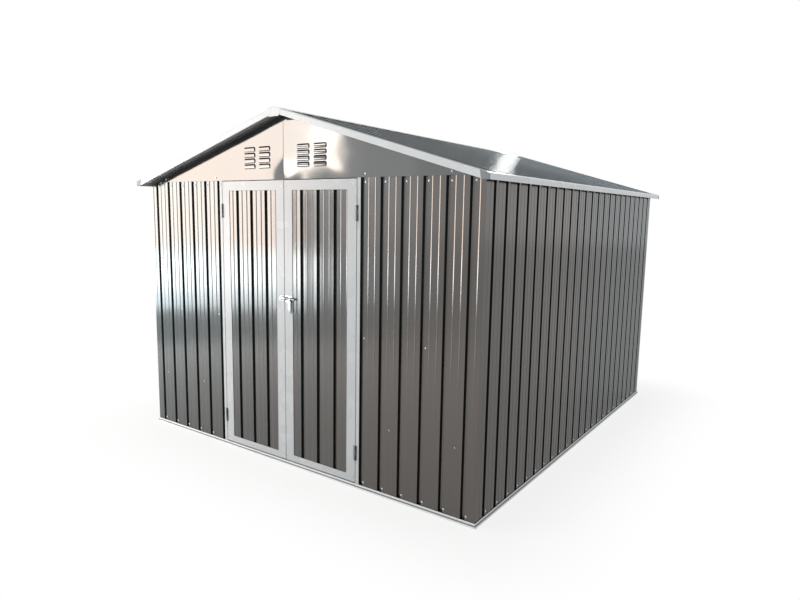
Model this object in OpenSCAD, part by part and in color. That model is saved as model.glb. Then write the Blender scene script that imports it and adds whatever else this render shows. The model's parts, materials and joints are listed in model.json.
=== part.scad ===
// Metal storage shed with a gable roof and a pair of hinged doors in its front.
// Millimetres, +Z up. The origin is on the ground at the centre of the walls' footprint,
// the front faces -Y, and left and right are as seen from the front.

/* [Walls] */
// Width over the outer faces of the side walls
shed_w = 2600; // [1900:2:3200]
// Depth over the outer faces of the front and back walls
shed_d = 2950; // [1900:2:3800]
// Height of the gables' lower edge above the ground
wall_top = 1712; // [1400:1:2100]
// Thickness of the wall, gable, door and roof sheets
sheet_t = 1; // [0.6:0.1:1.6]
// Spacing of the grooves in the front and back walls
rib_pitch = 130; // [100:1:170]
// Spacing of the grooves in the side walls and of the ribs on the roof
side_pitch = 126; // [100:0.5:170]
// Width of a groove or rib at the sheet
rib_foot = 26; // [20:1:34]
// Width of a groove or rib at its far side
rib_crest = 14; // [8:1:18]
// Depth of a wall groove, and height of a roof rib
rib_depth = 14; // [8:1:20]
// Height of the small stiffening beads between the grooves
bead_h = 1.5; // [0.8:0.1:2.5]
// Width of those beads
bead_w = 10; // [6:1:16]
// Distance from a front corner to the nearest groove in the front
front_margin = 70; // [45:1:80]
// Least gap between a corner post and the nearest groove
post_gap = 2; // [0.5:0.5:10]
// How far the front and back sheets run up behind the gables
wall_lap = 18; // [10:1:30]

/* [Frame] */
// Height of the base rails
base_h = 26; // [20:1:40]
// How far the base rails stand out from the walls
base_out = 8; // [5:1:15]
// Width of the base rails inside the walls' outer faces
base_in = 38.5; // [32:0.5:60]
// Thickness of the base rails' bottom
base_floor_t = 2; // [1.5:0.5:3]
// Thickness of the folded rails, posts and door jambs
rail_t = 1.5; // [1:0.25:2.5]
// Height of the rails inside the walls
rail_h = 38; // [30:1:50]
// Width of the rails' flange
rail_flange = 20; // [15:1:30]
// Height of the middle of the mid rails above the ground
mid_rail_z = 850; // [600:1:1000]
// Width of each leg of the corner posts
post_leg = 28; // [15:1:29]
// Distance from the side walls' outer faces to the ground anchor holes
anchor_inset_x = 180; // [100:1:300]
// Radius of the ground anchor holes
anchor_r = 4.5; // [3:0.5:6]

/* [Roof] */
// Slope of the roof in degrees
roof_slope = 16.2; // [10:0.1:28]
// Overhang of the roof past the side walls
eaves_out = 50; // [45:1:90]
// Overhang of the roof past the front and back walls
verge_out = 74; // [40:1:120]
// Thickness of the folded roof trims
trim_t = 1.2; // [0.8:0.1:2]
// Height of the trims along the sloping edges
verge_h = 34; // [30:1:60]
// Height of the trims along the eaves
eaves_h = 30; // [26:1:50]
// Width of the trims on top of the roof
trim_lap = 28; // [20:1:40]
// Width of the trims' lower return
trim_return = 10; // [6:1:16]
// Radius of the trims' outer edge
trim_r = 5; // [2:1:8]
// Width of each side of the ridge cap
ridge_side = 75; // [60:1:120]
// Length of the ridge end pieces down each slope
ridge_end_side = 58; // [35:1:80]
// Length of the eaves corner caps
corner_cap = 46; // [34:1:70]
// Width of each leg of the ridge beam
beam_leg = 40; // [30:1:60]

/* [Gable louvres] */
// Distance from the gable's centre to the middle of each block of louvres
vent_x = 219; // [190:1:300]
// Height of the lowest louvre's lip above the gable's lower edge
vent_z = 84; // [80:1:160]
// Width of a louvre's slot
vent_w = 96; // [60:1:120]
// Gap between the two columns of louvres in a block
vent_gap = 31; // [20:1:50]
// Spacing of the rows of louvres
vent_row = 33; // [30:1:45]
// Height of the pressed hump below a louvre's slot
vent_h = 20; // [14:1:22]
// How far the hump's lip stands out
vent_out = 6; // [4:1:12]
// Height of a louvre's slot
vent_slot = 9; // [6:1:12]
// How far the ends of a louvre's slot turn down
vent_drop = 4; // [3:1:10]
// Width of those ends
vent_end = 4; // [2:0.5:6]

/* [Doors] */
// Width of the pair of doors, over the outer edges of both leaves
doors_w = 1081; // [800:1:1200]
// Gap around each leaf
leaf_gap = 5; // [5:0.5:8]
// Width of the jambs' face
jamb_w = 22; // [16:1:40]
// Depth of the jambs' return into the doorway
jamb_depth = 36; // [28:1:36]
// Depth of the leaves' folded frames
leaf_depth = 25; // [22:1:30]
// Width of the leaves' upright frame members
stile_w = 62; // [60:1:90]
// Height of the leaves' top frame members
top_rail_h = 56; // [40:1:90]
// Height of the leaves' bottom frame members
bottom_rail_h = 40; // [30:1:90]
// Distance from a leaf's left edge to its first groove
leaf_groove_x = 136; // [110:1:150]
// Spacing of the grooves in the leaves
leaf_pitch = 126; // [100:1:140]
// Height of the brace inside each leaf
brace_h = 60; // [40:1:100]

/* [Hinges] */
// Length of a hinge
hinge_h = 84; // [60:1:120]
// Distance from the axis to a hinge plate's far edge
hinge_plate = 12; // [10:1:16]
// Radius of the hinge knuckles
knuckle_r = 4; // [3:0.5:4]
// Radius of the hinge pins
pin_r = 2; // [1.5:0.25:2.5]
// Height of the lower hinges' middle above the doors' lower edge
low_hinge_z = 173; // [100:1:400]
// Distance of the upper hinges' middle below the doors' top edge
high_hinge_z = 180; // [100:1:400]

/* [Latch] */
// Height of the latch's bolt above the ground
latch_z = 1022; // [800:1:1100]
// Radius of the bolt
bolt_r = 5; // [4:0.5:6]
// Travel of the bolt
bolt_travel = 25; // [20:1:26]
// Distance from the doors' faces to the bolt's axis
bolt_off = 9.5; // [9:0.5:12]
// Width of the hanging bolt handle
handle_w = 22; // [16:1:26]
// Length of the bolt handle below the bolt's axis
handle_h = 84; // [50:1:90]
// Radius of the padlock hole in the handle
padlock_r = 4; // [3:0.5:5]

/* [Hidden] */
$fn = 48;

half_w = shed_w / 2;
half_d = shed_d / 2;
sheet_depth = rib_depth + sheet_t;
face_out = max(bead_h, rail_t);      // from the wall sheets' plane to what laps over their face
rail_top_gap = 2;                    // from the top rails to the gables' lower edge
seam = 0.5;                          // between the two halves of a gable
strip_w = 30;                        // of the strip behind that seam
seat = 0.02;                         // clearance between the roof sheets and what bears on them
groove_margin = sheet_t + post_leg + post_gap + rib_foot / 2;
eps = 0.5;                           // how far a cutter runs past what it cuts
colour_wall = "dimgray";
colour_trim = "whitesmoke";
colour_steel = "silver";

// Roof: heights are measured square to the slope from the underside of the sheets
slope_tan = tan(roof_slope);
eave_x = half_w + eaves_out;
verge_y = half_d + verge_out;
rib_top = rib_depth + sheet_t;
sheet_run = (eave_x - trim_r - rib_top * sin(roof_slope)) / cos(roof_slope);
verge_start = (verge_h - rib_top - trim_t) * slope_tan + 0.5;
ridge_h = rib_top + seat;            // of the ridge cap's underside
verge_end = (eave_x - trim_lap - 8) / cos(roof_slope);

// Doors
leaf_w = (doors_w - leaf_gap) / 2;
leaf_bottom = base_h + leaf_gap;
leaf_top = wall_top - leaf_gap;
leaf_h = leaf_top - leaf_bottom;
leaf_face = -half_d - rail_t;
jamb_x = doors_w / 2 + leaf_gap;     // inner face of a jamb
hinge_x = doors_w / 2 + leaf_gap / 2;
hinge_y = leaf_face - knuckle_r - 0.5;
hinge_zs = [leaf_bottom + low_hinge_z, leaf_top - high_hinge_z];
panel_face = leaf_face + trim_t + bead_h;

// Latch, with x measured from the meeting edges of the leaves
sleeve_w = 8;
sleeve_r = 8.5;
sleeve_xs = [9, 51];
bolt_tip = leaf_gap / 2 + 0.5;
bolt_len = sleeve_xs[1] + sleeve_w + 3 + bolt_travel - bolt_tip;
neck_w = 7;
neck_x = sleeve_xs[1] - 1 - neck_w;
keeper_x = -26;
keeper_w = 12;

// Height of the roof sheets' underside at x
function under_roof(x) = wall_top + (half_w - abs(x)) * slope_tan;
// Height at x of a plane h above that underside
function roof_plane(x, h) = under_roof(x) + h / cos(roof_slope);
// Same points, last first
function reversed(points) = [for (i = [len(points) - 1 : -1 : 0]) points[i]];
// Points along an arc
function arc(x, y, r, from, to, steps = 6) =
    [for (i = [0 : steps]) let (a = from + (to - from) * i / steps) [x + r * cos(a), y + r * sin(a)]];
// Number of grooves that fit a sheet, with a margin at both ends
function groove_count(length, margin, pitch) = floor((length - 2 * margin) / pitch) + 1;
// Distance from the sheet's end to the first of them
function first_groove(length, margin, pitch) =
    (length - (groove_count(length, margin, pitch) - 1) * pitch) / 2;

// One face of a profiled sheet: grooves of the given pitch and centres, with two beads between them.
// v is the level of the face, grow widens the grooves, and bead is the beads' height, downwards.
function sheet_face(length, first, count, pitch, v, grow, bead) =
    let (
        bead_at = function(c) c > bead_w && c < length - bead_w
            ? [[c - bead_w / 2, v], [c, v - bead], [c + bead_w / 2, v]] : []
    )
    concat(
        [[0, v]],
        bead_at(first - 2 * pitch / 3),
        bead_at(first - pitch / 3),
        [for (i = [0 : count - 1]) let (c = first + i * pitch) each concat(
            [[c - rib_foot / 2 - grow, v], [c - rib_crest / 2 - grow, v + rib_depth],
             [c + rib_crest / 2 + grow, v + rib_depth], [c + rib_foot / 2 + grow, v]],
            bead_at(c + pitch / 3),
            bead_at(c + 2 * pitch / 3)
        )],
        [[length, v]]
    );

// Section of a profiled sheet, grooves in +Y from its outer face at y = 0
module sheet_section(length, first, count, pitch, bead = bead_h) {
    flank = (rib_foot - rib_crest) / 2;
    grow = sheet_t * (sqrt(flank * flank + rib_depth * rib_depth) - flank) / rib_depth;
    polygon(concat(
        sheet_face(length, first, count, pitch, 0, 0, bead),
        reversed(sheet_face(length, first, count, pitch, sheet_t, grow, bead))
    ));
}

module box(low, high) {
    translate(low) cube(high - low);
}

// A copy of the children on the other side of the YZ plane
module other_side() {
    mirror([1, 0, 0]) children();
}

module at_back() {
    mirror([0, 1, 0]) children();
}

// Everything below the roof sheets
module roof_clip() {
    translate([0, verge_y, 0]) rotate([90, 0, 0]) linear_extrude(2 * verge_y)
        polygon([[-half_w, 0], [half_w, 0], [half_w, under_roof(half_w)],
                 [0, under_roof(0)], [-half_w, under_roof(half_w)]]);
}

// Lays children on the right slope: x runs down the slope from the ridge, z is square to it
module on_slope() {
    translate([0, 0, under_roof(0)]) rotate([0, roof_slope, 0]) children();
}

// ---- base ----

// A rectangular ring between two distances inside the walls' outer faces
module base_ring(near, far, low, high) {
    difference() {
        box([-half_w + near, -half_d + near, low], [half_w - near, half_d - near, high]);
        box([-half_w + far, -half_d + far, low - eps], [half_w - far, half_d - far, high + eps]);
    }
}

module base_frame() {
    step_z = base_h * 0.54;
    anchor_y = half_d - (sheet_depth + base_in - rail_t) / 2;
    difference() {
        union() {
            base_ring(-base_out, base_in, 0, base_floor_t);
            base_ring(-base_out, -base_out + rail_t, 0, step_z);
            base_ring(-base_out, -face_out, step_z - rail_t, step_z);
            base_ring(-face_out - rail_t, -face_out, step_z - rail_t, base_h);
            base_ring(base_in - rail_t, base_in, 0, base_h);
        }
        for (x = [-1, 1], y = [-1, 1])
            translate([x * (half_w - anchor_inset_x), y * anchor_y, -eps])
                cylinder(r = anchor_r, h = base_floor_t + 2 * eps);
    }
}

// The part of the base frame along the front, cut at 45 degrees at its ends
module base_rail_front() {
    color(colour_trim) intersection() {
        base_frame();
        linear_extrude(base_h) base_mitre(half_w, half_d);
    }
}

module base_mitre(along, across) {
    reach = base_in + 5;
    polygon([[-along - base_out, -across - base_out], [along + base_out, -across - base_out],
             [along - reach, -across + reach], [-along + reach, -across + reach]]);
}

module base_rail_left() {
    color(colour_trim) intersection() {
        base_frame();
        linear_extrude(base_h) rotate(-90) base_mitre(half_d, half_w);
    }
}

// ---- walls ----

module front_wall_left() {
    length = half_w - jamb_x - rail_t - seam;
    jamb_margin = jamb_w - leaf_gap;
    count = floor((length - front_margin - jamb_margin) / rib_pitch) + 1;
    color(colour_wall) intersection() {
        translate([-half_w, -half_d, base_floor_t]) linear_extrude(wall_top + wall_lap - base_floor_t)
            sheet_section(length, front_margin, count, rib_pitch);
        roof_clip();
    }
}

module back_wall() {
    count = groove_count(shed_w, groove_margin, rib_pitch);
    first = first_groove(shed_w, groove_margin, rib_pitch);
    color(colour_wall) intersection() {
        at_back() translate([-half_w, -half_d, base_floor_t])
            linear_extrude(wall_top + wall_lap - base_floor_t)
                sheet_section(shed_w, first, count, rib_pitch);
        roof_clip();
    }
}

module left_wall() {
    length = shed_d - 2 * sheet_t;
    count = groove_count(length, groove_margin, side_pitch);
    first = first_groove(length, groove_margin, side_pitch);
    color(colour_wall) translate([-half_w, half_d - sheet_t, base_floor_t]) rotate(-90)
        linear_extrude(wall_top - bead_h * slope_tan - base_floor_t)
            sheet_section(length, first, count, side_pitch);
}

// ---- frame inside the walls ----

module corner_posts() {
    near = sheet_t;
    color(colour_steel) for (x = [0, 1], y = [0, 1]) mirror([x, 0, 0]) mirror([0, y, 0])
        translate([-half_w + near, -half_d + near, base_floor_t])
            linear_extrude(wall_top - rail_top_gap - base_floor_t)
                polygon([[0, 0], [post_leg, 0], [post_leg, rail_t],
                         [rail_t, rail_t], [rail_t, post_leg], [0, post_leg]]);
}

// Angle rail lying along +X, its back on y = 0 and its flange at the top, pointing to +Y
module angle_rail(length) {
    rotate([90, 0, 90]) linear_extrude(length)
        polygon([[0, 0], [rail_t, 0], [rail_t, rail_h - rail_t], [rail_flange, rail_h - rail_t],
                 [rail_flange, rail_h], [0, rail_h]]);
}

module top_rail_front() {
    reach = half_w - (rail_h + rail_top_gap) / slope_tan;
    color(colour_steel) translate([-reach, -half_d + sheet_depth, wall_top])
        angle_rail(2 * reach);
}

module top_rail_left() {
    reach = half_d - sheet_depth;
    color(colour_steel) translate([-half_w + sheet_depth, reach, wall_top - rail_top_gap - rail_h])
        rotate(-90) angle_rail(2 * reach);
}

module mid_rails() {
    low = mid_rail_z - rail_h / 2;
    back_reach = half_w - sheet_depth;
    side_reach = half_d - sheet_depth - rail_flange - 1;
    color(colour_steel) {
        for (x = [0, 1]) mirror([x, 0, 0]) {
            translate([-back_reach, -half_d + sheet_depth, low]) angle_rail(back_reach - jamb_x - rail_t);
            translate([-back_reach, side_reach, low]) rotate(-90) angle_rail(2 * side_reach);
        }
        at_back() translate([-back_reach, -half_d + sheet_depth, low]) angle_rail(2 * back_reach);
    }
}

// ---- gables ----

// A pressed hump, open at the top: its lip at z = 0 and its foot height below it
module vent_hump(width, height, out) {
    translate([-width / 2, 0, 0]) rotate([90, 0, 90]) linear_extrude(width)
        polygon(concat([[0, 0]], [for (i = [0 : 6]) let (a = i * 15) [-out * cos(a), -height * sin(a)]]));
}

// The slot above a hump, with its ends turned down beside the hump
module vent_slot_shape() {
    side = vent_w / 2;
    inner = side - vent_end;
    polygon(concat(
        [[-inner, 0], [-inner, -vent_drop], [-side, -vent_drop]],
        arc(vent_slot - side, 0, vent_slot, 180, 90),
        arc(side - vent_slot, 0, vent_slot, 90, 0),
        [[side, -vent_drop], [inner, -vent_drop], [inner, 0]]
    ));
}

module vents(cut) {
    hump_w = vent_w - 2 * vent_end;
    hollow = hump_w / 2 - sheet_t;
    for (x = [-1, 1], row = [0 : 3])
        translate([vent_x + x * (vent_w + vent_gap) / 2, 0, wall_top + vent_z + row * vent_row])
            if (cut) {
                translate([0, sheet_t + eps, 0]) rotate([90, 0, 0])
                    linear_extrude(sheet_t + 2 * eps) vent_slot_shape();
                box([-hollow, -eps, 3 * sheet_t - vent_h], [hollow, sheet_t + eps, eps]);
            } else {
                difference() {
                    vent_hump(hump_w, vent_h, vent_out);
                    translate([0, eps, eps])
                        vent_hump(2 * hollow, vent_h - sheet_t + eps, vent_out - sheet_t + eps);
                }
            }
}

module gable_right(strip) {
    peak = under_roof(seam / 2) - seat;
    strip_top = under_roof(strip_w / 2) - 2 * rail_t;
    color(colour_wall) translate([0, -half_d - face_out - sheet_t, 0]) {
        difference() {
            translate([0, sheet_t, 0]) rotate([90, 0, 0]) linear_extrude(sheet_t)
                polygon([[seam / 2, wall_top], [half_w - seat / slope_tan, wall_top], [seam / 2, peak]]);
            vents(true);
        }
        vents(false);
        // the backing strip behind the seam, from the header up to the ridge beam
        if (strip) translate([0, sheet_t, 0])
            box([-strip_w / 2, 0, wall_top + rail_h + 1], [strip_w / 2, sheet_t, strip_top]);
    }
}

// ---- roof ----

module roof_right() {
    length = 2 * verge_y;
    count = groove_count(length, verge_out, side_pitch);
    first = first_groove(length, verge_out, side_pitch);
    color(colour_wall) on_slope() rotate([90, 0, 90]) linear_extrude(sheet_run)
        translate([-verge_y, 0]) sheet_section(length, first, count, side_pitch, -bead_h);
}

// A folded cap over the ridge, its underside h above the roof's underside
module ridge_fold(side, thickness, from_y, to_y, h) {
    for (m = [0, 1]) mirror([m, 0, 0]) intersection() {
        on_slope() box([-30, from_y, h], [side, to_y, h + thickness]);
        box([0, from_y, 0], [2 * side, to_y, under_roof(0) + 100]);
    }
}

module ridge_cap() {
    reach = verge_y - trim_lap - 0.3;
    color(colour_wall) ridge_fold(ridge_side, trim_t, -reach, reach, ridge_h);
}

module ridge_end_caps() {
    front = -verge_y - 2 * trim_t - seat;
    color(colour_trim) for (m = [0, 1]) mirror([0, m, 0]) {
        ridge_fold(ridge_end_side, trim_t, front, -verge_y + trim_lap + 12, ridge_h + trim_t);
        translate([0, front + trim_t, 0]) rotate([90, 0, 0]) linear_extrude(trim_t) ridge_end_face();
    }
}

// The front of a ridge end piece, which covers the ends of both verge trims
module ridge_end_face() {
    top = ridge_h + 2 * trim_t;
    side = ridge_end_side * cos(roof_slope) + top * sin(roof_slope);
    low = roof_plane(side, rib_top + trim_t - verge_h) - trim_t;
    polygon([[side * 0.65, low], [side, roof_plane(side, top)], [0, roof_plane(0, top)],
             [-side, roof_plane(side, top)], [-side * 0.65, low]]);
}

module ridge_beam() {
    reach = half_d + face_out;
    color(colour_steel) ridge_fold(beam_leg, rail_t, -reach, reach, -rail_t - seat);
}

module roof_purlins() {
    reach = half_d + face_out;
    color(colour_steel) for (m = [0, 1]) mirror([m, 0, 0]) on_slope() translate([sheet_run / 2, 0, -seat]) {
        box([0, -reach, -rail_t], [rail_flange, reach, 0]);
        box([0, -reach, -rail_h], [rail_t, reach, 0]);
    }
}

// Section of a trim: a face of height drop at x = 0, rounded into a top flange towards +X
module trim_section(drop, lap, rise) {
    r = trim_r;
    outer = concat([[trim_return, -drop], [0, -drop], [0, -r]],
                   arc(r, -r, r, 180, 90), [[lap, (lap - r) * rise]]);
    inner = concat([[lap, (lap - r) * rise - trim_t]], reversed(arc(r, -r, r - trim_t, 180, 90)),
                   [[trim_t, -drop + trim_t], [trim_return, -drop + trim_t]]);
    polygon(concat(outer, inner));
}

module verge_trim_front_right() {
    color(colour_trim) on_slope() translate([verge_start, -verge_y - trim_t, rib_top + trim_t])
        rotate([90, 0, 90]) linear_extrude(verge_end - verge_start) trim_section(verge_h, trim_lap, 0);
}

eaves_top = roof_plane(eave_x - trim_r, rib_top + trim_t);

module eaves_trim_right() {
    reach = verge_y + trim_t;
    color(colour_trim) translate([eave_x, reach, eaves_top]) rotate([90, 0, 0]) linear_extrude(2 * reach)
        mirror([1, 0]) trim_section(eaves_h, trim_lap, slope_tan);
}

module eaves_corner_caps() {
    front = -verge_y - trim_t;
    color("lightslategray") for (x = [0, 1], y = [0, 1]) mirror([x, 0, 0]) mirror([0, y, 0]) {
        translate([0, front, 0]) rotate([90, 0, 0]) linear_extrude(rail_t) corner_cap_face();
        box([eave_x, front - rail_t, eaves_top - eaves_h - 1],
            [eave_x + rail_t, front + trim_return, eaves_top - trim_r]);
    }
}

module corner_cap_face() {
    r = 2 * trim_r;
    low = eaves_top - eaves_h - 1;
    left = eave_x - corner_cap;
    out = eave_x + rail_t;
    polygon(concat([[out, low], [left + 8, low + 3]],
        [[left, roof_plane(left, rib_top + 2 * trim_t)]],
        [[out - r, roof_plane(out - r, rib_top + 2 * trim_t)]],
        reversed(arc(out - r, eaves_top - r, r, 0, 80))));
}

// ---- doorway ----

module door_jamb_left() {
    color(colour_trim) translate([-jamb_x, 0, base_floor_t]) {
        box([-jamb_w, -half_d - rail_t, 0], [0, -half_d, wall_top + wall_lap - base_floor_t]);
        box([-rail_t, -half_d - rail_t, 0], [0, -half_d + jamb_depth, wall_top - base_floor_t]);
    }
}

// Half of a hinge, with its axis on z and its plate towards -X, on the faces at y = axis_off
module hinge_half(knuckles, bore) {
    axis_off = knuckle_r + 0.5;
    difference() {
        union() {
            box([-hinge_plate, axis_off - rail_t, -hinge_h / 2], [-5, axis_off, hinge_h / 2]);
            for (k = knuckles) {
                box([-6, axis_off - rail_t, k[0]], [0, axis_off, k[1]]);
                translate([0, 0, k[0]]) cylinder(r = knuckle_r, h = k[1] - k[0]);
            }
        }
        if (bore) translate([0, 0, -hinge_h]) cylinder(r = pin_r + 0.06, h = 2 * hinge_h);
    }
}

third = hinge_h / 6;

module jamb_hinges_left() {
    color(colour_steel) for (z = hinge_zs) translate([-hinge_x, hinge_y, z]) {
        hinge_half([[-hinge_h / 2, -third], [third, hinge_h / 2]], false);
        translate([0, 0, -hinge_h / 2 - 2]) cylinder(r = pin_r, h = hinge_h + 4);
    }
}

module left_leaf_hinges() {
    color(colour_steel) for (z = hinge_zs) translate([-hinge_x, hinge_y, z])
        mirror([1, 0, 0]) hinge_half([[-third + 0.5, third - 0.5]], true);
}

// ---- door leaves, each drawn from its left edge ----

module leaf_frame() {
    t = trim_t;
    brace_y = panel_face - leaf_face + sheet_depth;
    color(colour_trim) translate([0, leaf_face, leaf_bottom]) {
        difference() {
            cube([leaf_w, leaf_depth, leaf_h]);
            box([t, t, t], [leaf_w - t, leaf_depth + eps, leaf_h - t]);
            box([stile_w, -eps, bottom_rail_h], [leaf_w - stile_w, 2 * t, leaf_h - top_rail_h]);
        }
        translate([0, brace_y, latch_z - leaf_bottom - brace_h / 2]) cube([leaf_w, t, brace_h]);
    }
}

module leaf_panel() {
    t = trim_t;
    width = leaf_w - 2 * t;
    count = floor((width - leaf_groove_x) / leaf_pitch) + 1;
    color(colour_wall) translate([t, panel_face, leaf_bottom + t]) linear_extrude(leaf_h - 2 * t)
        sheet_section(width, leaf_groove_x - t, count, leaf_pitch);
}

left_leaf_x = -doors_w / 2;
right_leaf_x = leaf_gap / 2;

// ---- latch ----

module along_bolt(from_x, to_x, r) {
    translate([from_x, leaf_face - bolt_off, latch_z]) rotate([0, 90, 0]) cylinder(r = r, h = to_x - from_x);
}

module latch_plate() {
    color(colour_steel) difference() {
        union() {
            box([6, leaf_face - rail_t, latch_z - 19], [62, leaf_face, latch_z + 19]);
            for (x = sleeve_xs) {
                along_bolt(x, x + sleeve_w, sleeve_r);
                box([x, leaf_face - bolt_off, latch_z - sleeve_r],
                    [x + sleeve_w, leaf_face, latch_z + sleeve_r]);
            }
        }
        along_bolt(0, 100, bolt_r + 0.06);
    }
}

module latch_bolt() {
    plate_t = 4;
    mid = neck_x + neck_w / 2;
    color(colour_steel) {
        along_bolt(bolt_tip, bolt_tip + bolt_len, bolt_r);
        translate([mid, leaf_face - bolt_off + plate_t / 2, latch_z])
            rotate([90, 0, 0]) linear_extrude(plate_t)
            difference() {
                union() {
                    translate([-neck_w / 2, -20]) square([neck_w, 20]);
                    translate([-handle_w / 2, -handle_h + handle_w / 2])
                        square([handle_w, handle_h - handle_w / 2 - 12]);
                    translate([0, -handle_h + handle_w / 2]) circle(r = handle_w / 2);
                }
                translate([0, -handle_h + handle_w / 2]) circle(r = padlock_r);
            }
    }
}

module latch_keeper() {
    inner = bolt_r + 2;
    outer = inner + 3;
    front = leaf_face - bolt_off - outer;
    color(colour_steel) {
        box([keeper_x - 8, leaf_face - rail_t, latch_z - 16],
            [keeper_x + keeper_w + 6, leaf_face, latch_z + 16]);
        difference() {
            box([keeper_x, front, latch_z - outer], [keeper_x + keeper_w, leaf_face, latch_z + outer]);
            box([keeper_x - eps, front + 3, latch_z - inner],
                [keeper_x + keeper_w + eps, leaf_face - rail_t, latch_z + inner]);
        }
    }
}

base_rail_front();
at_back() base_rail_front();  // base_rail_back
base_rail_left();
other_side() base_rail_left();  // base_rail_right
front_wall_left();
other_side() front_wall_left();  // front_wall_right
back_wall();
left_wall();
other_side() left_wall();  // right_wall
corner_posts();
top_rail_front();
at_back() top_rail_front();  // top_rail_back
top_rail_left();
other_side() top_rail_left();  // top_rail_right
mid_rails();
other_side() gable_right(false);  // gable_front_left
gable_right(true);  // gable_front_right
at_back() other_side() gable_right(false);  // gable_back_left
at_back() gable_right(true);  // gable_back_right
other_side() roof_right();  // roof_left
roof_right();
ridge_cap();
ridge_end_caps();
ridge_beam();
roof_purlins();
other_side() verge_trim_front_right();  // verge_trim_front_left
verge_trim_front_right();
at_back() other_side() verge_trim_front_right();  // verge_trim_back_left
at_back() verge_trim_front_right();  // verge_trim_back_right
other_side() eaves_trim_right();  // eaves_trim_left
eaves_trim_right();
eaves_corner_caps();
door_jamb_left();
other_side() door_jamb_left();  // door_jamb_right
jamb_hinges_left();
other_side() jamb_hinges_left();  // jamb_hinges_right
translate([left_leaf_x, 0, 0]) leaf_frame();  // left_leaf_frame
translate([left_leaf_x, 0, 0]) leaf_panel();  // left_leaf_panel
left_leaf_hinges();
translate([right_leaf_x, 0, 0]) leaf_frame();  // right_leaf_frame
translate([right_leaf_x, 0, 0]) leaf_panel();  // right_leaf_panel
other_side() left_leaf_hinges();  // right_leaf_hinges
latch_plate();
latch_bolt();
latch_keeper();
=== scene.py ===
import bpy
import json
from math import radians, tau
from mathutils import Matrix, Vector


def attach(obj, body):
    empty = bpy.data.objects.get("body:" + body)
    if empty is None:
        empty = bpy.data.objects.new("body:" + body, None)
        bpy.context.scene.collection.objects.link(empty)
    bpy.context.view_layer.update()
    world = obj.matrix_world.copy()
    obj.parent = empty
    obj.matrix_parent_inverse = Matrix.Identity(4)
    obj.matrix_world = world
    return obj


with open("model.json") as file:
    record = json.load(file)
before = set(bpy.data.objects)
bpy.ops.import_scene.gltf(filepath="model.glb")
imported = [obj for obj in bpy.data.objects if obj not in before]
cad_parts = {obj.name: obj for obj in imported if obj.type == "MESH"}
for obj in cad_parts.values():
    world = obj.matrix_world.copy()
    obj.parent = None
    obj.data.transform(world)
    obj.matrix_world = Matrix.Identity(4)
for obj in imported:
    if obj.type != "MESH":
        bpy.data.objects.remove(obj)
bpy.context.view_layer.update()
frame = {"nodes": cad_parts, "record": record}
scene = bpy.context.scene
print("shed: frame loaded,", len(frame["nodes"]), "nodes")


# sRGB hex to the linear values that the shaders take
def linearColor(hexText):
    values = [int(hexText[i:i + 2], 16) / 255 for i in (1, 3, 5)]
    return [v / 12.92 if v <= 0.04045 else ((v + 0.055) / 1.055) ** 2.4 for v in values] + [1.0]


# adds one node, sets its attributes, fills or links its inputs
def addNode(tree, kind, settings=None, inputs=None):
    node = tree.nodes.new(kind)
    for name, value in (settings or {}).items():
        setattr(node, name, value)
    for name, value in (inputs or {}).items():
        socket = node.inputs[name]
        if isinstance(value, bpy.types.NodeSocket):
            tree.links.new(value, socket)
        else:
            socket.default_value = value
    return node


def newMaterial(name):
    material = bpy.data.materials.new(name)
    material.use_nodes = True
    material.node_tree.nodes.clear()
    return material, material.node_tree


def finishMaterial(tree, shader):
    addNode(tree, "ShaderNodeOutputMaterial", {}, {"Surface": shader.outputs[0]})


# gives a color ramp its (place, hex color) stops
def setRamp(node, stops):
    ramp = node.color_ramp
    while len(ramp.elements) < len(stops):
        ramp.elements.new(1.0)
    for element, (place, hexText) in zip(ramp.elements, stops):
        element.position = place
        element.color = linearColor(hexText)
    return node.outputs["Color"]


# a Mix node set to colors, and where its factor, its two colors and its result sit among its sockets
blendColors = {"data_type": "RGBA"}
multiplyColors = {"data_type": "RGBA", "blend_type": "MULTIPLY"}
factorIn, firstIn, secondIn, colorOut = 0, 6, 7, 2


cameraSetup = {
    "place": (2.6371, -4.0332, 1.5307),
    "turn": (82.012, -0.958, 35.377),   # degrees, XYZ
    "lens": 27.863,                     # millimetres on a 36 mm sensor
}

cameraData = bpy.data.cameras.new("shedCamera")
cameraData.lens = cameraSetup["lens"]
cameraData.sensor_width = 36
cameraData.clip_start = 0.05
cameraData.clip_end = 200
camera = bpy.data.objects.new("shedCamera", cameraData)
camera.location = cameraSetup["place"]
camera.rotation_euler = [radians(a) for a in cameraSetup["turn"]]
scene.collection.objects.link(camera)
scene.camera = camera
print("shed: camera set")


studio = {
    "worldLevel": 0.66,                 # what the white world gives as light on the shed
    "worldColor": "#ffffff",
    "floorColor": "#f2f2f1",
    "floorSize": 60,
    "floorInSheets": 0.25,              # how plain the floor looks in the glossy sheets
    "floorNear": 0.8,                   # how plain it looks right beside the walls
    "shedHalf": (1.3, 1.475, 0.0),
    "floorFade": (0.03, 0.75),          # metres from the walls over which the floor turns plain white
}

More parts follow.
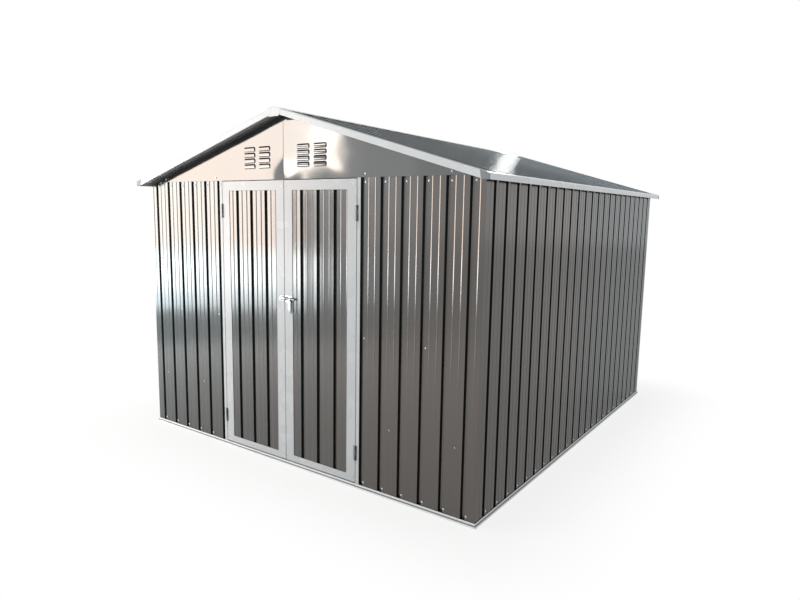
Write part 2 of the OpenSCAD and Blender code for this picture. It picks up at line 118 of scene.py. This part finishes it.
# the key light stands high to the left; the next five are one tall softbox to the left of the front, warm at
# the top and brighter low down, which the sheets mirror; the last two are its cool spill, and a narrow panel
# behind the shed that lights a patch of the roof
lamps = {
    "keyLight": {"place": (-3.2, -4.2, 5.2), "target": (0, 0, 0.6), "size": (3.0, 3.0),
                 "power": 45, "color": "#ffffff", "hiddenFrom": "glossy"},
    "softboxTop": {"place": (-3.40, -3.50, 2.275), "target": (-2.40, -2.50, 2.275), "size": (2.5, 0.95),
                   "power": 37, "color": "#ffefe2"},
    "softboxMiddle": {"place": (-3.47, -3.43, 1.425), "target": (-2.47, -2.43, 1.425), "size": (2.3, 0.75),
                      "power": 31, "color": "#ffe4d4"},
    "softboxBand": {"place": (-3.40, -3.50, 0.83), "target": (-2.40, -2.50, 0.83), "size": (2.5, 0.42),
                    "power": 27, "color": "#ffffff"},
    "softboxFoot": {"place": (-3.40, -3.50, 0.50), "target": (-2.40, -2.50, 0.50), "size": (2.5, 0.24),
                    "power": 9, "color": "#eef3f6"},
    "softboxWing": {"place": (-2.40, -4.50, 2.38), "target": (-1.40, -3.50, 2.38), "size": (0.36, 0.76),
                    "power": 7, "color": "#ffefe2"},
    "softboxEdge": {"place": (-3.25, -3.90, 1.60), "target": (-2.25, -2.90, 1.60), "size": (4.2, 2.4),
                    "power": 8, "color": "#dde8f1", "hiddenFrom": "diffuse"},
    "rearPanel": {"place": (-1.80, 5.48, 3.05), "target": (0.6, 0.0, 1.95), "size": (0.25, 1.9),
                  "power": 17, "color": "#ffffff", "hiddenFrom": "diffuse"},
}

scene.view_settings.view_transform = "Standard"

# the world is plain white to the camera and in gloss and glass, and softer as light on the shed
world = bpy.data.worlds.new("studioWorld")
scene.world = world
world.use_nodes = True
tree = world.node_tree
tree.nodes.clear()
lightPath = addNode(tree, "ShaderNodeLightPath")
mirrored = addNode(tree, "ShaderNodeMath", {"operation": "MAXIMUM"}, {
    0: lightPath.outputs["Is Camera Ray"], 1: lightPath.outputs["Is Glossy Ray"]})
seen = addNode(tree, "ShaderNodeMath", {"operation": "MAXIMUM"}, {
    0: mirrored.outputs[0], 1: lightPath.outputs["Is Transmission Ray"]})
level = addNode(tree, "ShaderNodeMapRange", {}, {
    "Value": seen.outputs[0], "To Min": studio["worldLevel"], "To Max": 1.0})
background = addNode(tree, "ShaderNodeBackground", {}, {
    "Color": linearColor(studio["worldColor"]), "Strength": level.outputs[0]})
addNode(tree, "ShaderNodeOutputWorld", {}, {"Surface": background.outputs[0]})

for name, lamp in lamps.items():
    data = bpy.data.lights.new(name, "AREA")
    data.shape = "RECTANGLE"
    data.size, data.size_y = lamp["size"]
    data.energy = lamp["power"]
    data.color = linearColor(lamp["color"])[:3]
    light = bpy.data.objects.new(name, data)
    light.location = lamp["place"]
    aim = Vector(lamp["target"]) - Vector(lamp["place"])
    light.rotation_euler = aim.to_track_quat("-Z", "Y").to_euler()
    scene.collection.objects.link(light)
    light.visible_camera = False
    light.visible_glossy = lamp.get("hiddenFrom") != "glossy"
    light.visible_diffuse = lamp.get("hiddenFrom") != "diffuse"

bpy.ops.object.select_all(action="DESELECT")
bpy.ops.mesh.primitive_plane_add(size=studio["floorSize"], location=(0, 0, 0))
floor = bpy.context.object
floor.name = "studioFloor"
# matt white studio floor: takes the shadow near the shed and turns plain white farther out
material, tree = newMaterial("paintedFloor")
lightPath = addNode(tree, "ShaderNodeLightPath")
diffuse = addNode(tree, "ShaderNodeBsdfDiffuse", {}, {"Color": linearColor(studio["floorColor"])})
glow = addNode(tree, "ShaderNodeEmission", {}, {"Color": linearColor(studio["worldColor"]), "Strength": 1.0})
place = addNode(tree, "ShaderNodeTexCoord").outputs["Object"]
folded = addNode(tree, "ShaderNodeVectorMath", {"operation": "ABSOLUTE"}, {0: place})
outside = addNode(tree, "ShaderNodeVectorMath", {"operation": "SUBTRACT"}, {
    0: folded.outputs[0], 1: studio["shedHalf"]})
beyond = addNode(tree, "ShaderNodeVectorMath", {"operation": "MAXIMUM"}, {0: outside.outputs[0], 1: (0, 0, 0)})
distance = addNode(tree, "ShaderNodeVectorMath", {"operation": "LENGTH"}, {0: beyond.outputs[0]})
fade = addNode(tree, "ShaderNodeMapRange", {"interpolation_type": "SMOOTHSTEP"}, {
    "Value": distance.outputs["Value"], "From Min": studio["floorFade"][0], "From Max": studio["floorFade"][1],
    "To Min": studio["floorNear"], "To Max": 1.0})
seen = addNode(tree, "ShaderNodeMath", {"operation": "MULTIPLY"}, {
    0: lightPath.outputs["Is Camera Ray"], 1: fade.outputs["Result"]})
share = addNode(tree, "ShaderNodeMath", {"operation": "MULTIPLY_ADD"}, {
    0: lightPath.outputs["Is Glossy Ray"], 1: studio["floorInSheets"], 2: seen.outputs[0]})
mixed = addNode(tree, "ShaderNodeMixShader", {}, {
    "Fac": share.outputs[0], 1: diffuse.outputs[0], 2: glow.outputs[0]})
finishMaterial(tree, mixed)
floor.data.materials.append(material)
print("shed: light and floor set")


# what all the coated sheets share; in every finish, scales are per metre, and sizes and depths are in metres
sheetCoating = {
    "metal": 0.86,                      # how far the clean coating mirrors as metal does
    "cloudScale": 1.6,                  # clouds in the tone, some 600 mm across
    "cloudShare": 0.3,
    "smearScale": 14.0,                 # wiped smears, some 70 mm across
    "smearGloss": (-0.03, 0.04),        # what the smears do to the roughness
    "steep": 0.6,                       # a face that leans this far is the side of a groove
    "dull": (0.5, 0.85),                # openness over which a groove begins to mirror
}


# coil-coated steel sheet: a glossy charcoal coating that mirrors what is round it, with painted shade down in
# the grooves
def coilCoatedSheet(name, look):
    material, tree = newMaterial(name)
    place = addNode(tree, "ShaderNodeTexCoord").outputs["Object"]
    # the tone goes from its first grey to its second along toneWay, with slow clouds in it
    clouds = addNode(tree, "ShaderNodeTexNoise", {}, {
        "Vector": place, "Scale": sheetCoating["cloudScale"], "Detail": 3.0})
    drift = addNode(tree, "ShaderNodeVectorMath", {"operation": "DOT_PRODUCT"}, {
        0: place, 1: look["toneWay"]})
    mixed = addNode(tree, "ShaderNodeMath", {"operation": "MULTIPLY_ADD"}, {
        0: clouds.outputs["Fac"], 1: sheetCoating["cloudShare"], 2: drift.outputs["Value"]})
    tone = setRamp(addNode(tree, "ShaderNodeValToRGB", {}, {"Fac": mixed.outputs[0]}), look["tones"])
    # painted shade: the tone is darkened where occlusion finds the grooves, hollows and the places between
    # parts
    hollow = addNode(tree, "ShaderNodeAmbientOcclusion", {"samples": 12}, {"Distance": look["hollowSize"]})
    depth = setRamp(addNode(tree, "ShaderNodeValToRGB", {}, {"Fac": hollow.outputs["AO"]}), look["hollow"])
    shaded = addNode(tree, "ShaderNodeMix", multiplyColors, {
        factorIn: 1.0, firstIn: tone, secondIn: depth}).outputs[colorOut]
    if "ribAxis" in look:
        # painted shade: the steep sides of the grooves get a colour of their own, on the walls much darker than
        # the flat pans between them
        facing = addNode(tree, "ShaderNodeSeparateXYZ", {}, {
            "Vector": addNode(tree, "ShaderNodeNewGeometry").outputs["True Normal"]})
        leaning = addNode(tree, "ShaderNodeMath", {"operation": "ABSOLUTE"}, {
            0: facing.outputs[look["ribAxis"]]})
        steep = addNode(tree, "ShaderNodeMath", {"operation": "GREATER_THAN"}, {
            0: leaning.outputs[0], 1: sheetCoating["steep"]})
        share = addNode(tree, "ShaderNodeMix", blendColors, {
            factorIn: steep.outputs[0],
            firstIn: linearColor(look["pan"]), secondIn: linearColor(look["grooveSideShade"])})
        shaded = addNode(tree, "ShaderNodeMix", multiplyColors, {
            factorIn: 1.0, firstIn: shaded, secondIn: share.outputs[colorOut]}).outputs[colorOut]
    smears = addNode(tree, "ShaderNodeTexNoise", {}, {
        "Vector": place, "Scale": sheetCoating["smearScale"], "Detail": 4.0})
    gloss = addNode(tree, "ShaderNodeMapRange", {}, {
        "Value": smears.outputs["Fac"], "To Min": look["roughness"] + sheetCoating["smearGloss"][0],
        "To Max": look["roughness"] + sheetCoating["smearGloss"][1]})
    waves = addNode(tree, "ShaderNodeTexNoise", {}, {
        "Vector": place, "Scale": look["waveScale"], "Detail": 1.0})
    bent = addNode(tree, "ShaderNodeBump", {}, {"Height": waves.outputs["Fac"], "Distance": look["waveDepth"]})
    if "bowPitch" in look:
        # each pan between two grooves bows out a little; at scale 1 the bands come every tau / 20 metres
        bows = addNode(tree, "ShaderNodeTexWave", {"bands_direction": look["bowAxis"]}, {
            "Vector": place, "Scale": tau / 20 / look["bowPitch"], "Phase Offset": look["bowPhase"]})
        bent = addNode(tree, "ShaderNodeBump", {}, {
            "Height": bows.outputs["Fac"], "Distance": look["bowDepth"], "Normal": bent.outputs["Normal"]})
    if "seamReach" in look:
        # the two gable sheets curl at the joint between them, most at the foot, and the joint is a thin line
        apart = addNode(tree, "ShaderNodeSeparateXYZ", {}, {"Vector": place})
        across = addNode(tree, "ShaderNodeMapRange", {}, {
            "Value": apart.outputs["X"], "From Min": -look["seamReach"], "From Max": look["seamReach"],
            "To Min": -1.0})
        side = addNode(tree, "ShaderNodeMath", {"operation": "SIGN"}, {0: across.outputs["Result"]})
        away = addNode(tree, "ShaderNodeMath", {"operation": "ABSOLUTE"}, {0: across.outputs["Result"]})
        near = addNode(tree, "ShaderNodeMath", {"operation": "SUBTRACT"}, {0: 1.0, 1: away.outputs[0]})
        rise = addNode(tree, "ShaderNodeMath", {"operation": "POWER"}, {0: near.outputs[0], 1: 2.0})
        hook = addNode(tree, "ShaderNodeMath", {"operation": "MULTIPLY"}, {
            0: side.outputs[0], 1: rise.outputs[0]})
        fromFoot = addNode(tree, "ShaderNodeMapRange", {"interpolation_type": "SMOOTHSTEP"}, {
            "Value": apart.outputs["Z"], "From Min": look["seamFoot"], "From Max": look["seamHead"],
            "To Min": 1.0, "To Max": look["seamHeadShare"]})
        curl = addNode(tree, "ShaderNodeMath", {"operation": "MULTIPLY"}, {
            0: hook.outputs[0], 1: fromFoot.outputs["Result"]})
        bent = addNode(tree, "ShaderNodeBump", {}, {
            "Height": curl.outputs[0], "Distance": look["seamCurl"], "Normal": bent.outputs["Normal"]})
        line = setRamp(addNode(tree, "ShaderNodeValToRGB", {}, {"Fac": away.outputs[0]}), look["seamLine"])
        shaded = addNode(tree, "ShaderNodeMix", multiplyColors, {
            factorIn: 1.0, firstIn: shaded, secondIn: line}).outputs[colorOut]
    # the most hidden bottoms of the grooves mirror less, so that they show their painted shade
    mirror = addNode(tree, "ShaderNodeMapRange", {}, {
        "Value": hollow.outputs["AO"], "From Min": sheetCoating["dull"][0], "From Max": sheetCoating["dull"][1],
        "To Min": look["hollowMetal"], "To Max": sheetCoating["metal"]})
    shader = addNode(tree, "ShaderNodeBsdfPrincipled", {}, {
        "Base Color": shaded, "Metallic": mirror.outputs["Result"], "Roughness": gloss.outputs["Result"],
        "Normal": bent.outputs["Normal"]})
    if "backing" in look:
        # the underside carries a dull grey backing coat
        facing = addNode(tree, "ShaderNodeSeparateXYZ", {}, {
            "Vector": addNode(tree, "ShaderNodeNewGeometry").outputs["True Normal"]})
        below = addNode(tree, "ShaderNodeMath", {"operation": "LESS_THAN"}, {0: facing.outputs["Z"], 1: 0.0})
        backing = addNode(tree, "ShaderNodeBsdfPrincipled", {}, {
            "Base Color": linearColor(look["backing"]), "Roughness": gloss.outputs["Result"],
            "Metallic": look["backingMetal"]})
        shader = addNode(tree, "ShaderNodeMixShader", {}, {
            "Fac": below.outputs[0], 1: shader.outputs[0], 2: backing.outputs[0]})
    finishMaterial(tree, shader)
    return material


# the painted shade in the grooves and hollows runs from its darkest tone at the closest place to white at the
# most open one
frontSheet = {
    "tones": [(0.0, "#6f6c6a"), (0.7, "#6f7678")], "toneWay": (-0.30, 0.0, 0.14),
    "hollow": [(0.2, "#8d9698"), (0.6, "#ffffff")], "hollowSize": 0.03, "hollowMetal": 0.15,
    "ribAxis": "X", "pan": "#ffffff", "grooveSideShade": "#596365",
    "roughness": 0.15, "waveScale": 3.0, "waveDepth": 0.0002,      # waves of 330 mm
    "bowAxis": "X", "bowPitch": 0.130, "bowPhase": 1.81, "bowDepth": 0.0008,   # one bow from groove to groove
}
# the side walls are the same sheet as the front: this copy carries much darker painted shade in its grooves,
# and its tone turns darker towards the back as painted shade
sideSheet = {
    "tones": [(0.0, "#6c6967"), (0.5, "#5b6062")], "toneWay": (0.0, 0.30, 0.05),
    "hollow": [(0.4, "#2b3334"), (0.85, "#ffffff")], "hollowSize": 0.03, "hollowMetal": 0.86,
    "ribAxis": "Y", "pan": "#ffffff", "grooveSideShade": "#20282a",
    "roughness": 0.15, "waveScale": 3.0, "waveDepth": 0.0002,
}
gableSheet = {
    "tones": [(0.2, "#706d6b"), (0.9, "#727576")], "toneWay": (0.2, 0.0, 0.2),
    "hollow": [(0.2, "#8a8f90"), (0.6, "#ffffff")], "hollowSize": 0.012, "hollowMetal": 0.7,
    "roughness": 0.08, "waveScale": 3.6, "waveDepth": 0.003,       # waves of 280 mm
    "seamReach": 0.17, "seamCurl": 0.009, "seamFoot": 1.71, "seamHead": 1.90, "seamHeadShare": 0.15,
    "seamLine": [(0.008, "#8d9192"), (0.016, "#ffffff")],
}
# the roof's tone runs from dark at the front to lighter and bluer at the back: a painted reflection
roofSheet = {
    "tones": [(0.0, "#4f5456"), (0.4, "#737b7e")], "toneWay": (0.0, 0.45, 0.0),
    "hollow": [(0.5, "#24292b"), (0.86, "#ffffff")], "hollowSize": 0.03, "hollowMetal": 0.86,
    "ribAxis": "Y", "pan": "#dfe6e9", "grooveSideShade": "#dfe6e9",
    "roughness": 0.13, "waveScale": 3.0, "waveDepth": 0.0002,
    "backing": "#8f9598", "backingMetal": 0.35,
}


# off-white coil coating on the folded trims: satin, faintly uneven, with softly rounded folds
def whiteTrimCoating(name, look):
    material, tree = newMaterial(name)
    place = addNode(tree, "ShaderNodeTexCoord").outputs["Object"]
    clouds = addNode(tree, "ShaderNodeTexNoise", {}, {
        "Vector": place, "Scale": look["cloudScale"], "Detail": 5.0})
    tone = setRamp(addNode(tree, "ShaderNodeValToRGB", {}, {"Fac": clouds.outputs["Fac"]}), look["tones"])
    if "foldShadeLines" in look:
        # painted shade: the rolled edges of the rail show as two thin dark lines along it
        apart = addNode(tree, "ShaderNodeSeparateXYZ", {}, {"Vector": place})
        rise = addNode(tree, "ShaderNodeMapRange", {}, {
            "Value": apart.outputs["Z"], "From Max": look["foldHeight"]})
        lines = setRamp(
            addNode(tree, "ShaderNodeValToRGB", {}, {"Fac": rise.outputs["Result"]}), look["foldShadeLines"])
        tone = addNode(tree, "ShaderNodeMix", multiplyColors, {
            factorIn: 1.0, firstIn: tone, secondIn: lines}).outputs[colorOut]
    gloss = addNode(tree, "ShaderNodeMapRange", {}, {
        "Value": clouds.outputs["Fac"], "To Min": look["gloss"][0], "To Max": look["gloss"][1]})
    peel = addNode(tree, "ShaderNodeTexNoise", {}, {"Vector": place, "Scale": look["peelScale"], "Detail": 1.0})
    folds = addNode(tree, "ShaderNodeBevel", {"samples": 4}, {"Radius": look["foldRadius"]})
    skin = addNode(tree, "ShaderNodeBump", {}, {
        "Height": peel.outputs["Fac"], "Distance": look["peelDepth"], "Normal": folds.outputs["Normal"]})
    shader = addNode(tree, "ShaderNodeBsdfPrincipled", {}, {
        "Base Color": tone, "Roughness": gloss.outputs["Result"], "Normal": skin.outputs["Normal"]})
    finishMaterial(tree, shader)
    return material


trimCoating = {
    "cloudScale": 5.0,                  # clouds of 200 mm
    "gloss": (0.2, 0.34),               # roughness, from cloud to cloud
    "peelScale": 650.0,                 # orange peel of 1.5 mm
    "peelDepth": 0.00003,
    "foldRadius": 0.0012,
}
# one white trim coating in three copies of different lightness, painted light and shade: the door frame
# darkest, the outer trims lighter, the base rail lightest
outerTrim = {**trimCoating, "tones": [(0.35, "#d6dbde"), (0.6, "#dbe0e2")]}
doorTrim = {**trimCoating, "tones": [(0.35, "#bdc3c6"), (0.6, "#c1c7ca")]}
baseRail = {
    **trimCoating, "tones": [(0.35, "#ebeff0"), (0.6, "#f0f3f4")],
    "foldHeight": 0.031,                # the lines' places are shares of it
    "foldShadeLines": [(0.30, "#ffffff"), (0.34, "#83888a"), (0.46, "#83888a"), (0.50, "#ffffff"),
                  (0.80, "#ffffff"), (0.84, "#5d6264"), (0.92, "#5d6264"), (0.95, "#ffffff")],
}


# moulded plastic of the corner caps: dull grey with a fine eroded grain
def greyMouldedPlastic(look):
    material, tree = newMaterial("greyMouldedPlastic")
    place = addNode(tree, "ShaderNodeTexCoord").outputs["Object"]
    clouds = addNode(tree, "ShaderNodeTexNoise", {}, {
        "Vector": place, "Scale": look["cloudScale"], "Detail": 4.0})
    tone = setRamp(addNode(tree, "ShaderNodeValToRGB", {}, {"Fac": clouds.outputs["Fac"]}), look["tones"])
    grain = addNode(tree, "ShaderNodeTexNoise", {}, {
        "Vector": place, "Scale": look["grainScale"], "Detail": 2.0})
    skin = addNode(tree, "ShaderNodeBump", {}, {"Height": grain.outputs["Fac"], "Distance": look["grainDepth"]})
    shader = addNode(tree, "ShaderNodeBsdfPrincipled", {}, {
        "Base Color": tone, "Roughness": look["roughness"], "Normal": skin.outputs["Normal"]})
    finishMaterial(tree, shader)
    return material


cornerCaps = {
    "tones": [(0.35, "#7e8589"), (0.65, "#8a9196")], "roughness": 0.45,
    "cloudScale": 20.0,                 # clouds of 50 mm
    "grainScale": 1800.0,               # grain of 0.6 mm
    "grainDepth": 0.00005,
}


# hot-dip galvanised frame steel: pale zinc with a spangle of crystals
def galvanisedZinc(look):
    material, tree = newMaterial("galvanisedZinc")
    place = addNode(tree, "ShaderNodeTexCoord").outputs["Object"]
    spangle = addNode(tree, "ShaderNodeTexVoronoi", {}, {"Vector": place, "Scale": look["spangleScale"]})
    crystal = addNode(tree, "ShaderNodeSeparateColor", {}, {"Color": spangle.outputs["Color"]})
    tone = setRamp(addNode(tree, "ShaderNodeValToRGB", {}, {"Fac": crystal.outputs["Red"]}), look["tones"])
    gloss = addNode(tree, "ShaderNodeMapRange", {}, {
        "Value": crystal.outputs["Green"], "To Min": look["gloss"][0], "To Max": look["gloss"][1]})
    shader = addNode(tree, "ShaderNodeBsdfPrincipled", {}, {
        "Base Color": tone, "Metallic": 1.0, "Roughness": gloss.outputs["Result"]})
    finishMaterial(tree, shader)
    return material


innerFrame = {
    "tones": [(0.0, "#9da3a6"), (1.0, "#b7bcbf")], "gloss": (0.3, 0.46),
    "spangleScale": 85.0,               # crystals of 12 mm
}


# plated steel of the small hardware: rubbed brighter in places, dull in others, with painted shade where pieces
# meet and in hollows
def platedSteel(name, look):
    material, tree = newMaterial(name)
    place = addNode(tree, "ShaderNodeTexCoord").outputs["Object"]
    rubs = addNode(tree, "ShaderNodeTexNoise", {}, {"Vector": place, "Scale": look["rubScale"], "Detail": 5.0})
    tone = setRamp(addNode(tree, "ShaderNodeValToRGB", {}, {"Fac": rubs.outputs["Fac"]}), look["tones"])
    gloss = addNode(tree, "ShaderNodeMapRange", {}, {
        "Value": rubs.outputs["Fac"], "To Min": look["roughness"] + look["rubGloss"][0],
        "To Max": look["roughness"] + look["rubGloss"][1]})
    folds = addNode(tree, "ShaderNodeBevel", {"samples": 4}, {"Radius": look["foldRadius"]})
    # painted shade: the tone is darkened where occlusion finds hollows and the joints between pieces
    hollow = addNode(tree, "ShaderNodeAmbientOcclusion", {"samples": 8}, {"Distance": look["hollowSize"]})
    depth = setRamp(addNode(tree, "ShaderNodeValToRGB", {}, {"Fac": hollow.outputs["AO"]}), look["hollow"])
    shaded = addNode(tree, "ShaderNodeMix", multiplyColors, {factorIn: 1.0, firstIn: tone, secondIn: depth})
    shader = addNode(tree, "ShaderNodeBsdfPrincipled", {}, {
        "Base Color": shaded.outputs[colorOut], "Metallic": 1.0, "Roughness": gloss.outputs["Result"],
        "Normal": folds.outputs["Normal"]})
    finishMaterial(tree, shader)
    return material


plating = {
    "rubGloss": (0.08, -0.05),          # what a rub does to the roughness
    "foldRadius": 0.0006,
    "hollow": [(0.25, "#26292a"), (0.85, "#ffffff")], "hollowSize": 0.014,
}
# rub marks of 17, 3 and 22 mm
hingePlating = {
    **plating, "tones": [(0.35, "#73777a"), (0.65, "#8d9193")], "rubScale": 60.0, "roughness": 0.34}
screwPlating = {
    **plating, "tones": [(0.35, "#c9cdcf"), (0.65, "#e2e5e6")], "rubScale": 300.0, "roughness": 0.22}
latchPlating = {
    **plating, "tones": [(0.35, "#94999b"), (0.65, "#b4b8ba")], "rubScale": 45.0, "roughness": 0.14}

finishes = {
    "wall_paint": coilCoatedSheet("charcoalWallSheet", frontSheet),
    "side_paint": coilCoatedSheet("charcoalSideSheet", sideSheet),
    "gable_paint": coilCoatedSheet("charcoalPlainSheet", gableSheet),
    "roof_paint": coilCoatedSheet("charcoalRoofSheet", roofSheet),
    "white_trim": whiteTrimCoating("whiteCoatedTrim", outerTrim),
    "door_trim": whiteTrimCoating("greyWhiteDoorTrim", doorTrim),
    "rail_trim": whiteTrimCoating("foldedBaseRail", baseRail),
    "cap_grey": greyMouldedPlastic(cornerCaps),
    "zinc": galvanisedZinc(innerFrame),
    "hinge_steel": platedSteel("zincPlatedHinge", hingePlating),
    "screw_cap": platedSteel("platedScrew", screwPlating),
    "latch_chrome": platedSteel("brightPlatedLatch", latchPlating),
}
# nodes that look different from the rest of their slot
otherFinish = {
    "left_wall": "side_paint", "right_wall": "side_paint",
    "door_jamb_left": "door_trim", "door_jamb_right": "door_trim",
    "left_leaf_frame": "door_trim", "right_leaf_frame": "door_trim",
    "base_rail_front": "rail_trim", "base_rail_back": "rail_trim",
    "base_rail_left": "rail_trim", "base_rail_right": "rail_trim",
}
slotOfNode = {part["node"]: part["material_slot"] for part in frame["record"]["subparts"]}
for name, node in frame["nodes"].items():
    node.data.materials.clear()
    node.data.materials.append(finishes[otherFinish.get(name, slotOfNode[name])])
print("shed: finishes on")


def selectFaces(thing, wanted):
    bpy.ops.object.mode_set(mode="OBJECT")
    for face in thing.data.polygons:
        face.select = wanted(face)
    bpy.context.tool_settings.mesh_select_mode = (False, False, True)
    bpy.ops.object.mode_set(mode="EDIT")


# one sheet screw, a round washer with a domed head
screwShape = {
    "washer": 0.0065, "washerThick": 0.0014, "sides": 10,
    "rim": 0.0016,                      # of the washer, outside the head
    "head": 0.0034,
    "dome": ((0.5, 1.0), (0.32, 0.74), (0.18, 0.45)),   # share of the head's height, and how far it draws in
}

bpy.ops.object.select_all(action="DESELECT")
bpy.ops.mesh.primitive_cylinder_add(
    vertices=screwShape["sides"], radius=screwShape["washer"], depth=screwShape["washerThick"],
    location=(0, 0, screwShape["washerThick"] / 2))
screw = bpy.context.object
screw.name = "sheetScrew"
bpy.ops.object.transform_apply(location=True, rotation=True, scale=True)
selectFaces(screw, lambda face: face.normal.z > 0.9)
bpy.ops.mesh.inset(thickness=screwShape["rim"])
for rise, drawIn in screwShape["dome"]:
    bpy.ops.mesh.extrude_region_move(TRANSFORM_OT_translate={"value": (0, 0, screwShape["head"] * rise)})
    bpy.ops.transform.resize(value=(drawIn, drawIn, 1))
bpy.ops.object.mode_set(mode="OBJECT")
bpy.ops.object.shade_smooth_by_angle(angle=radians(50))


# copies the screw to each (place, direction, size) and joins the copies into one piece on a body
def placeScrews(name, body, spots):
    copies = []
    for spot, way, size in spots:
        copy = screw.copy()
        copy.data = screw.data.copy()
        scene.collection.objects.link(copy)
        copy.matrix_world = Matrix.LocRotScale(
            Vector(spot), Vector(way).to_track_quat("Z", "Y"), Vector((size,) * 3))
        copies.append(copy)
    bpy.ops.object.select_all(action="DESELECT")
    for copy in copies:
        copy.select_set(True)
    bpy.context.view_layer.objects.active = copies[0]
    bpy.ops.object.join()
    bpy.ops.object.transform_apply(location=True, rotation=True, scale=True)
    joined = bpy.context.object
    joined.name = name
    joined.data.materials.clear()
    joined.data.materials.append(finishes["screw_cap"])
    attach(joined, body)


# places in metres, sizes as shares of the full screw
wallScrews = {
    "halfWidth": 1.300, "halfDepth": 1.475,
    "heights": (0.047, 1.688),          # bottom and top row
    "beside": 0.021,                    # from a groove's middle
    "front": (0.580, 0.710, 0.840, 0.970, 1.100, 1.230),
    "sideFirst": -1.386, "sidePitch": 0.126, "sideCount": 23,
    "backFirst": -1.235, "backPitch": 0.130, "backCount": 20,
    "middle": 0.862, "middleFront": (0.600, 0.992), "middleSize": 0.8,     # into the mid rail
    "low": 0.385, "lowFront": (0.773, 1.176), "lowSize": 0.6,
    "gablePlane": 1.4775, "gableHeight": 1.731, "gableAcross": (0.60, 1.12),
}

front, back = -wallScrews["halfDepth"], wallScrews["halfDepth"]
spots = []
for z in wallScrews["heights"]:
    for side in (-1, 1):
        for x in wallScrews["front"]:
            spots.append(((side * x + wallScrews["beside"], front, z), (0, -1, 0), 1.0))
        for i in range(wallScrews["sideCount"]):
            y = wallScrews["sideFirst"] + i * wallScrews["sidePitch"] + wallScrews["beside"]
            spots.append(((side * wallScrews["halfWidth"], y, z), (side, 0, 0), 1.0))
    for i in range(wallScrews["backCount"]):
        x = wallScrews["backFirst"] + i * wallScrews["backPitch"] - wallScrews["beside"]
        spots.append(((x, back, z), (0, 1, 0), 1.0))
for side in (-1, 1):
    for x in wallScrews["middleFront"]:
        spots.append(((side * x, front, wallScrews["middle"]), (0, -1, 0), wallScrews["middleSize"]))
    for x in wallScrews["lowFront"]:
        spots.append(((side * x, front, wallScrews["low"]), (0, -1, 0), wallScrews["lowSize"]))
for side in (-1, 1):
    for x in wallScrews["gableAcross"]:
        for way in (-1, 1):
            place = (side * x, way * wallScrews["gablePlane"], wallScrews["gableHeight"])
            spots.append((place, (0, way, 0), 1.0))
placeScrews("wallScrews", "shed", spots)

leafScrews = {
    "plane": -1.4765, "inner": 0.012, "outer": 0.527,
    "heights": (0.060, 1.677), "middle": 0.866, "size": 0.7,
}

for side, body in ((-1, "left_leaf"), (1, "right_leaf")):
    places = [(x, z) for x in (leafScrews["inner"], leafScrews["outer"]) for z in leafScrews["heights"]]
    places.append((leafScrews["outer"], leafScrews["middle"]))
    placeScrews(body + "_screws", body, [
        ((side * x, leafScrews["plane"], z), (0, -1, 0), leafScrews["size"]) for x, z in places])
bpy.data.objects.remove(screw)
print("shed: screws in")
